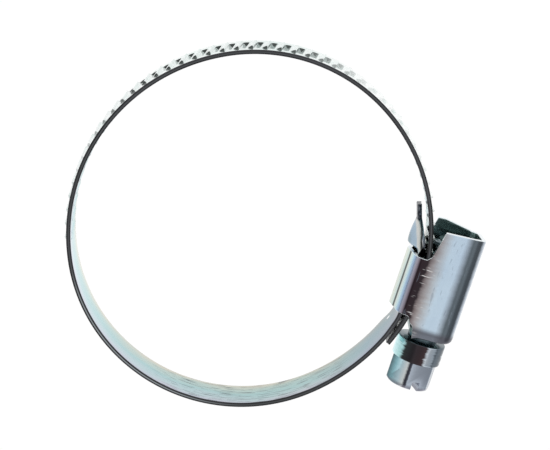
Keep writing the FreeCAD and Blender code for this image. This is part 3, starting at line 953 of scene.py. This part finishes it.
worm_stations = [(y, WORM_CORE) for y in np.linspace(WORM_BOTTOM, WORM_TOP, 151)]
worm = turned("worm", worm_stations, worm_ridge, 72)
collar_stations = [(NECK_TOP, NECK_RADIUS), (COLLAR_TOP + 0.05, NECK_RADIUS), (COLLAR_TOP, NECK_RADIUS + 0.1)]
collar_stations += [(COLLAR_TOP - down, COLLAR_RADIUS - inward) for down, inward in COLLAR_EDGE]
collar_stations += [(-9.2, COLLAR_RADIUS), (-10.2, COLLAR_RADIUS)]
collar_stations += [(COLLAR_BOTTOM + up, COLLAR_RADIUS - inward) for up, inward in reversed(COLLAR_EDGE)]
collar_stations += [(COLLAR_BOTTOM, NECK_RADIUS - 0.1)]
collar = turned("collar", collar_stations, None, 128)
print("worm faces", len(worm.data.polygons), " collar faces", len(collar.data.polygons))

# %% [markdown]
# The hexagon keeps only what lies inside a turned blank, which rounds its end, and a box then cuts the
# slot. Both are Booleans, because the curves where a cone meets a flat are easier to cut than to write
# down.

# %% The slotted hexagon
HEX_FLATS, HEX_TURN, HEX_END, HEX_START = 7.0, 15.8, -16.4, -11.6
CORNER_TURN, CORNER_CUT = 0.045, 0.985
SLOT_WIDE, SLOT_DEEP, SLOT_REACH = 1.3, 1.6, 6
BLANK = [(-11.0, 4.6), (-15.15, 4.6), (-15.45, 4.22), (-15.75, 3.98), (-16.05, 3.75), (-16.25, 3.55),
         (-16.36, 3.35), (HEX_END, 3.1)]


def boolean(made, tool, operation):
    """Applies one Boolean and removes its tool."""
    layer = made.modifiers.new("cut", "BOOLEAN")
    layer.object, layer.operation, layer.solver = tool, operation, "EXACT"
    bpy.context.view_layer.update()
    mesh = bpy.data.meshes.new_from_object(made.evaluated_get(bpy.context.evaluated_depsgraph_get()))
    made.modifiers.remove(layer)
    made.data = mesh
    bpy.data.objects.remove(tool)


def hexagon():
    """The head: a prism with slightly blunt corners, rounded at its end and slotted."""
    corner = CORNER_CUT * HEX_FLATS / math.sqrt(3)
    ring = []
    for k in range(6):
        for side in (-1, 1):
            turn = math.radians(60 * k - HEX_TURN) + side * CORNER_TURN
            ring.append((AXIS_X + corner * math.cos(turn), corner * math.sin(turn)))
    points = [(x, y, z) for y in (HEX_END, HEX_START) for x, z in ring]
    head = mesh_object("hexagon", points, loop_faces(1, len(ring)) + end_faces(1, len(ring)))
    turn_outward(head)
    boolean(head, turned("blank", BLANK, None, 64), "INTERSECT")
    turn = math.radians(HEX_TURN)
    slot_dir = np.array([math.sin(turn), 0, math.cos(turn)])
    side_dir = np.array([math.cos(turn), 0, -math.sin(turn)])
    corners = []
    for y in (HEX_END - 1, HEX_END + SLOT_DEEP):
        for a, b in ((-1, -1), (1, -1), (1, 1), (-1, 1)):
            away = side_dir * SLOT_WIDE / 2 * a + slot_dir * SLOT_REACH * b
            corners.append(np.array([AXIS_X, y, 0]) + away)
    box_faces = [(0, 1, 2, 3), (7, 6, 5, 4), (0, 4, 5, 1), (1, 5, 6, 2), (2, 6, 7, 3), (3, 7, 4, 0)]
    cutter = mesh_object("slot_cutter", corners, box_faces)
    turn_outward(cutter)
    boolean(head, cutter, "DIFFERENCE")
    soften(head, 30.0)
    return head


hex_head = hexagon()
print("hexagon faces", len(hex_head.data.polygons))

# %% [markdown]
# The housing's and the screw's finishes read Object coordinates, which in this frame are metres in the
# engineering model's own axes, so a tint can be placed where the film is thicker, and painted reflections
# and painted shade where the metal should show them.


# %% The housing's finish
def object_axes(tree):
    """The Object coordinates as a vector in metres, and X and Y in mm."""
    vector = node(tree, "ShaderNodeTexCoord").outputs["Object"]
    split = node(tree, "ShaderNodeSeparateXYZ", {0: vector}).outputs
    return vector, in_mm(tree, split[0]), in_mm(tree, split[1])


def spread(tree, value, low, high):
    """A number's place between two ends, from zero to one."""
    return maths(tree, "MULTIPLY_ADD", value, 1 / (high - low), -low / (high - low))


def stops(low, high, *pairs):
    """Ramp stops from places in mm."""
    return [((place - low) / (high - low), colour) for place, colour in pairs]


FILM_FROM, FILM_TO = 26.9, 39.1
# Where painted shade darkens the lower end, which curls inwards over the screw's neck.
FOOT_SHADE_START, FOOT_SHADE_FULL = -4.6, -5.75
# Film tints with painted reflections across the housing: a thin dark line over the flaps, a dark band over
# the skirt, a light band on the wall, a dark stripe over the crown's rounding and a light sliver at its edge.
WALL_FILM_AND_REFLECTIONS = stops(FILM_FROM, FILM_TO, (26.9, (0.74, 0.76, 0.66)), (27.3, (0.78, 0.82, 0.72)),
                  (27.60, (0.62, 0.76, 0.70)),
                  (27.66, (0.04, 0.05, 0.05)), (27.78, (0.04, 0.05, 0.05)), (27.84, (0.76, 0.80, 0.70)),
                  (28.10, (0.50, 0.70, 0.74)), (28.35, (0.36, 0.48, 0.66)), (28.75, (0.66, 0.64, 0.74)),
                  (29.05, (0.42, 0.36, 0.42)), (29.30, (0.040, 0.026, 0.032)), (30.55, (0.042, 0.032, 0.036)),
                  (30.95, (0.24, 0.20, 0.20)), (31.6, (0.42, 0.39, 0.39)), (32.5, (0.54, 0.58, 0.62)),
                  (33.6, (0.62, 0.76, 0.88)), (35.4, (0.64, 0.78, 0.90)), (36.1, (0.40, 0.47, 0.54)),
                  (36.7, (0.14, 0.17, 0.19)), (38.1, (0.11, 0.13, 0.15)), (38.5, (0.45, 0.50, 0.56)),
                  (38.85, (0.80, 0.84, 0.88)))


def housing_finish():
    """A film with painted reflections across the wall, painted shade on the curled foot and the inner face,
    marks near the waist, scratches and painted highlights on the edges.
    """
    material, tree, shader = start_finish("housing_zinc", 0.24)
    vector, x, y = object_axes(tree)
    side = node(tree, "ShaderNodeAttribute", attribute_name="side").outputs["Fac"]
    waver = maths(tree, "SUBTRACT", noise(tree, scaled(tree, vector, 500, 1500, 500), 1.0, 2.0), 0.5)
    rough_edge = maths(tree, "MULTIPLY_ADD", between(tree, x, 33.0, 35.5), -0.65, 0.9)
    placed = maths(tree, "ADD", x, maths(tree, "MULTIPLY", waver, rough_edge))
    steady = between(tree, x, 29.5, 30.6)
    across = maths(tree, "ADD", maths(tree, "MULTIPLY", placed, steady),
                   maths(tree, "MULTIPLY", x, maths(tree, "SUBTRACT", 1.0, steady)))
    # Film tints and painted reflections across the housing.
    film_and_painted_light = ramp(tree, spread(tree, across, FILM_FROM, FILM_TO), *WALL_FILM_AND_REFLECTIONS)
    cloud = noise(tree, scaled(tree, vector, 260, 120, 260), 1.0)
    patches = ramp(tree, cloud, (0.30, (0.84, 0.86, 0.90)), (0.70, (1.0, 1.0, 1.0)))
    film_and_painted_light = mix(tree, 1.0, film_and_painted_light, patches, "MULTIPLY")
    # Painted shade where the lower end curls inwards.
    foot_shade = between(tree, y, FOOT_SHADE_START, FOOT_SHADE_FULL)
    film_and_painted_light = mix(tree, maths(tree, "MULTIPLY", foot_shade, 0.88), film_and_painted_light, (0.10, 0.10, 0.12))
    marks = between(tree, noise(tree, scaled(tree, vector, 420, 2600, 420), 1.0, 2.0), 0.60, 0.68)
    near_waist = between(tree, x, 33.0, 30.6)
    film_and_painted_light = mix(tree, maths(tree, "MULTIPLY", marks, maths(tree, "MULTIPLY", near_waist, steady)), film_and_painted_light,
               (0.75, 0.74, 0.74))
    scratches = between(tree, noise(tree, scaled(tree, vector, 2200, 500, 2200), 1.0, 2.0), 0.64, 0.72)
    film_and_painted_light = mix(tree, maths(tree, "MULTIPLY", scratches, 0.35), film_and_painted_light, (0.22, 0.26, 0.32))
    # The inner face is painted darker, as shade inside the arch.
    inside = between(tree, side, 0.45, 0.10)
    colour = mix(tree, inside, film_and_painted_light, (0.20, 0.29, 0.28))
    # Painted highlights along the sheet's rims.
    edge = between(tree, maths(tree, "ABSOLUTE", maths(tree, "SUBTRACT", side, 0.5)), 0.35, 0.10)
    colour = mix(tree, edge, colour, (0.82, 0.88, 0.90))
    tree.links.new(colour, shader.inputs["Base Color"])
    grain = noise(tree, scaled(tree, vector, 300, 4200, 300), 1.0, 2.0)
    dents = maths(tree, "MULTIPLY_ADD", marks, 0.8, grain)
    bump(tree, shader, dents, 0.25, 0.03 * MM)
    return material


housing_zinc = housing_finish()
print("nodes in the housing's finish:", len(housing_zinc.node_tree.nodes))

# %% [markdown]
# The collar and the hexagon each have a film tint with painted reflections in bright and dark bands, read
# across the screw, and the ragged border between two bands comes from noise that is stretched along the
# screw. The end of the hexagon and the collar's top face are darkened with painted shade.

# %% The screw's finish
SCREW_FROM, SCREW_TO = 30.2, 38.8
# Where painted shade darkens the collar's top face, next to the housing's end.
TOP_FACE_SHADE_START, TOP_FACE_SHADE_FULL = -8.30, -8.14
# Film tints with painted reflections: bright and dark bands across the collar and across the hexagon's faces,
# with a dark line along one corner.
COLLAR_FILM_AND_REFLECTIONS = stops(SCREW_FROM, SCREW_TO, (30.3, (0.66, 0.90, 0.92)), (31.4, (0.44, 0.68, 0.70)),
                    (31.85, (0.05, 0.06, 0.06)),
                    (33.0, (0.035, 0.032, 0.036)), (35.2, (0.050, 0.032, 0.036)), (35.7, (0.56, 0.62, 0.68)),
                    (36.7, (0.48, 0.56, 0.64)), (37.15, (0.13, 0.16, 0.19)), (38.3, (0.09, 0.11, 0.13)),
                    (38.6, (0.6, 0.65, 0.70)))
HEX_FILM_AND_REFLECTIONS = stops(SCREW_FROM, SCREW_TO, (30.7, (0.10, 0.17, 0.19)), (31.4, (0.26, 0.44, 0.50)),
                 (32.3, (0.62, 0.82, 0.90)),
                 (33.1, (0.95, 1.0, 1.0)), (33.42, (0.06, 0.06, 0.08)), (33.78, (0.06, 0.065, 0.085)),
                 (33.95, (0.46, 0.52, 0.60)), (36.0, (0.40, 0.45, 0.53)), (38.0, (0.33, 0.38, 0.45)))


def screw_finish():
    """The collar's film and painted reflections above, the hexagon's below, painted shade on the hexagon's
    end and the collar's top face, and fine rings that the turning left.
    """
    material, tree, shader = start_finish("screw_zinc", 0.20)
    vector, x, y = object_axes(tree)
    ragged = maths(tree, "SUBTRACT", noise(tree, scaled(tree, vector, 300, 2600, 300), 1.0, 3.0), 0.5)
    across = maths(tree, "ADD", x, maths(tree, "MULTIPLY", ragged, 1.1))
    # Film tint and painted reflections on the collar.
    collar = ramp(tree, spread(tree, across, SCREW_FROM, SCREW_TO), *COLLAR_FILM_AND_REFLECTIONS)
    slanted = maths(tree, "ADD", x, maths(tree, "MULTIPLY", ragged, 0.25))
    # Film tint and painted reflections on the hexagon.
    hexagon = ramp(tree, spread(tree, slanted, SCREW_FROM, SCREW_TO), *HEX_FILM_AND_REFLECTIONS)
    # Painted shade over the hexagon's rounded end.
    end_shade = between(tree, y, -15.4, -16.1)
    hexagon = mix(tree, maths(tree, "MULTIPLY", end_shade, 0.7), hexagon, (0.16, 0.15, 0.19))
    film_and_painted_light = mix(tree, between(tree, y, -11.65, -11.75), collar, hexagon)
    # Painted shade on the collar's top face.
    film_and_painted_light = mix(tree, between(tree, y, TOP_FACE_SHADE_START, TOP_FACE_SHADE_FULL), film_and_painted_light, (0.10, 0.14, 0.16))
    tree.links.new(film_and_painted_light, shader.inputs["Base Color"])
    rings = noise(tree, scaled(tree, vector, 200, 5200, 200), 1.0, 2.0)
    bump(tree, shader, rings, 0.2, 0.03 * MM)
    return material


screw_zinc = screw_finish()
print("nodes in the screw's finish:", len(screw_zinc.node_tree.nodes))


# %% [markdown]
# The folded leaf of the tongue has painted light and shade in stripes that run along its lean, so its
# colour is read across that direction. The tab at its tip is darker and specked.

# %% The tongue's finish
TONGUE_FROM, TONGUE_TO = 29.4, 33.2
TAB_START, TAB_FULL = 11.4, 11.8


def tongue_finish():
    """Painted light and shade in stripes along the leaf, and a specked tab."""
    material, tree, shader = start_finish("tongue_zinc", 0.20)
    vector, x, y = object_axes(tree)
    waver = maths(tree, "SUBTRACT", noise(tree, scaled(tree, vector, 700, 250, 700), 1.0, 2.0), 0.5)
    across = maths(tree, "MULTIPLY_ADD", y, math.tan(math.radians(TONGUE_LEAN)), x)
    across = maths(tree, "MULTIPLY_ADD", waver, 0.6, across)
    # Painted light and shade in stripes where the leaf is folded.
    fold_light_and_shade = stops(TONGUE_FROM, TONGUE_TO, (29.6, (0.26, 0.34, 0.38)), (30.0, (0.32, 0.42, 0.52)),
                  (30.6, (0.36, 0.46, 0.55)),
                  (30.9, (0.60, 0.60, 0.58)), (31.35, (0.46, 0.48, 0.46)), (31.55, (0.06, 0.06, 0.06)),
                  (31.75, (0.06, 0.06, 0.06)), (31.9, (0.70, 0.74, 0.75)), (32.2, (0.55, 0.56, 0.56)),
                  (32.4, (0.09, 0.07, 0.07)), (33.0, (0.05, 0.05, 0.05)))
    colour = ramp(tree, spread(tree, across, TONGUE_FROM, TONGUE_TO), *fold_light_and_shade)
    tip = between(tree, y, TAB_START, TAB_FULL)
    specks = noise(tree, scaled(tree, vector, 1800, 1800, 1800), 1.0, 1.0)
    tab = ramp(tree, specks, (0.45, (0.030, 0.034, 0.042)), (0.75, (0.20, 0.22, 0.25)))
    colour = mix(tree, tip, colour, tab)
    tree.links.new(colour, shader.inputs["Base Color"])
    bump(tree, shader, noise(tree, scaled(tree, vector, 900, 200, 2500), 1.0, 2.0), 0.3, 0.05 * MM)
    return material


tongue_zinc = tongue_finish()
print("nodes in the tongue's finish:", len(tongue_zinc.node_tree.nodes))

# %% [markdown]
# ## Put the pieces on their bodies
#
# Every finished piece but the band's rides on the engineering body that it belongs to, and hides the
# engineering nodes that it stands for. Then the same motion moves these shown pieces here.

# %% Ride, replace and set the finish
for made, body, nodes, finish, slot in (
        (tongue_piece, "housing", ["band_fixed_end"], tongue_zinc, "band_zinc"),
        (housing_shell, "housing", ["housing"], housing_zinc, "housing_zinc"),
        (housing_end, "housing", ["housing"], housing_zinc, "housing_zinc"),
        (worm, "worm_screw", ["worm_screw"], screw_zinc, "screw_zinc"),
        (collar, "worm_screw", ["worm_screw"], screw_zinc, "screw_zinc"),
        (hex_head, "worm_screw", ["worm_screw"], screw_zinc, "screw_zinc")):
    made.data.materials.clear()
    made.data.materials.append(finish)
    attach(made, body)
    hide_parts(*nodes)
    print(made.name, "rides on", body)

# %% [markdown]
# ## Floor, light and camera
#
# Bright plating shows little but its surroundings, so the surroundings are the light: a white tent, which
# is a white floor and a white world, with a few dark cards. The cards are what the near rims, the skirts
# and the crown pick up, and without them the metal would look like paper.


# %% The floor
FLOOR_HALF, FLOOR_Z = 900, -6.4


def floor():
    """A large white square that glows, so that nothing on it throws a grey shadow."""
    corners = [(a * FLOOR_HALF, b * FLOOR_HALF, FLOOR_Z) for a, b in ((-1, -1), (1, -1), (1, 1), (-1, 1))]
    made = mesh_object("floor", corners, [(0, 1, 2, 3)])
    material = bpy.data.materials.new("white_floor")
    material.use_nodes = True
    material.node_tree.nodes.clear()
    glow = node(material.node_tree, "ShaderNodeEmission", {"Color": (1, 1, 1, 1), "Strength": 1.02})
    node(material.node_tree, "ShaderNodeOutputMaterial", {0: glow.outputs[0]})
    made.data.materials.append(material)


floor()


# %% [markdown]
# Each card is a cone of directions in which the world is darker. It has a direction, the angle within which
# it is fully dark, the angle at which it has faded out, and how dark it is.

# %% The white tent with dark cards
CARDS = (((0.05, -0.25, 0.97), 9, 24, 0.20),
         ((-0.80, -0.25, 0.50), 30, 42, 0.48),
         ((0.90, -0.25, 0.25), 22, 36, 0.50))


def card(tree, way, towards, inner, outer):
    """One inside a cone round a direction and zero outside it, with a soft border between two angles."""
    facing = vector_maths(tree, "DOT_PRODUCT", {0: way, 1: tuple(Vector(towards).normalized())}, 1)
    return between(tree, facing, math.cos(math.radians(outer)), math.cos(math.radians(inner)))


def tent():
    """The world: white everywhere except on the cards."""
    world = bpy.data.worlds.new("tent")
    bpy.context.scene.world = world
    world.use_nodes = True
    tree = world.node_tree
    tree.nodes.clear()
    way = node(tree, "ShaderNodeTexCoord").outputs["Generated"]
    darkness = None
    for towards, inner, outer, strength in CARDS:
        shade = maths(tree, "MULTIPLY", card(tree, way, towards, inner, outer), strength)
        darkness = shade if darkness is None else maths(tree, "MAXIMUM", darkness, shade)
    colour = mix(tree, darkness, (1.0, 1.0, 1.0), (0.03, 0.035, 0.045))
    sky = node(tree, "ShaderNodeBackground", {"Color": colour, "Strength": 1.0})
    node(tree, "ShaderNodeOutputWorld", {0: sky.outputs[0]})


tent()

# %% [markdown]
# The camera looks down at the clamp from a little beyond its upper side, through a long lens, so the far
# rim of the band shows just inside the near one.

# %% The camera
camera_data = bpy.data.cameras.new("camera")
camera_data.sensor_width = 36.0
camera_data.lens = 142.77
camera_data.clip_start, camera_data.clip_end = 0.01, 10.0
camera = bpy.data.objects.new("camera", camera_data)
bpy.context.scene.collection.objects.link(camera)
camera.rotation_mode = "QUATERNION"
camera.location = Vector((-18.79, 90.89, 352.17)) * MM
camera.rotation_quaternion = Quaternion((0.98075485, -0.12484398, -0.01422992, 0.14943698))
bpy.context.scene.camera = camera
bpy.context.scene.view_settings.view_transform = "Standard"
print("camera at", [round(v, 3) for v in camera.location])
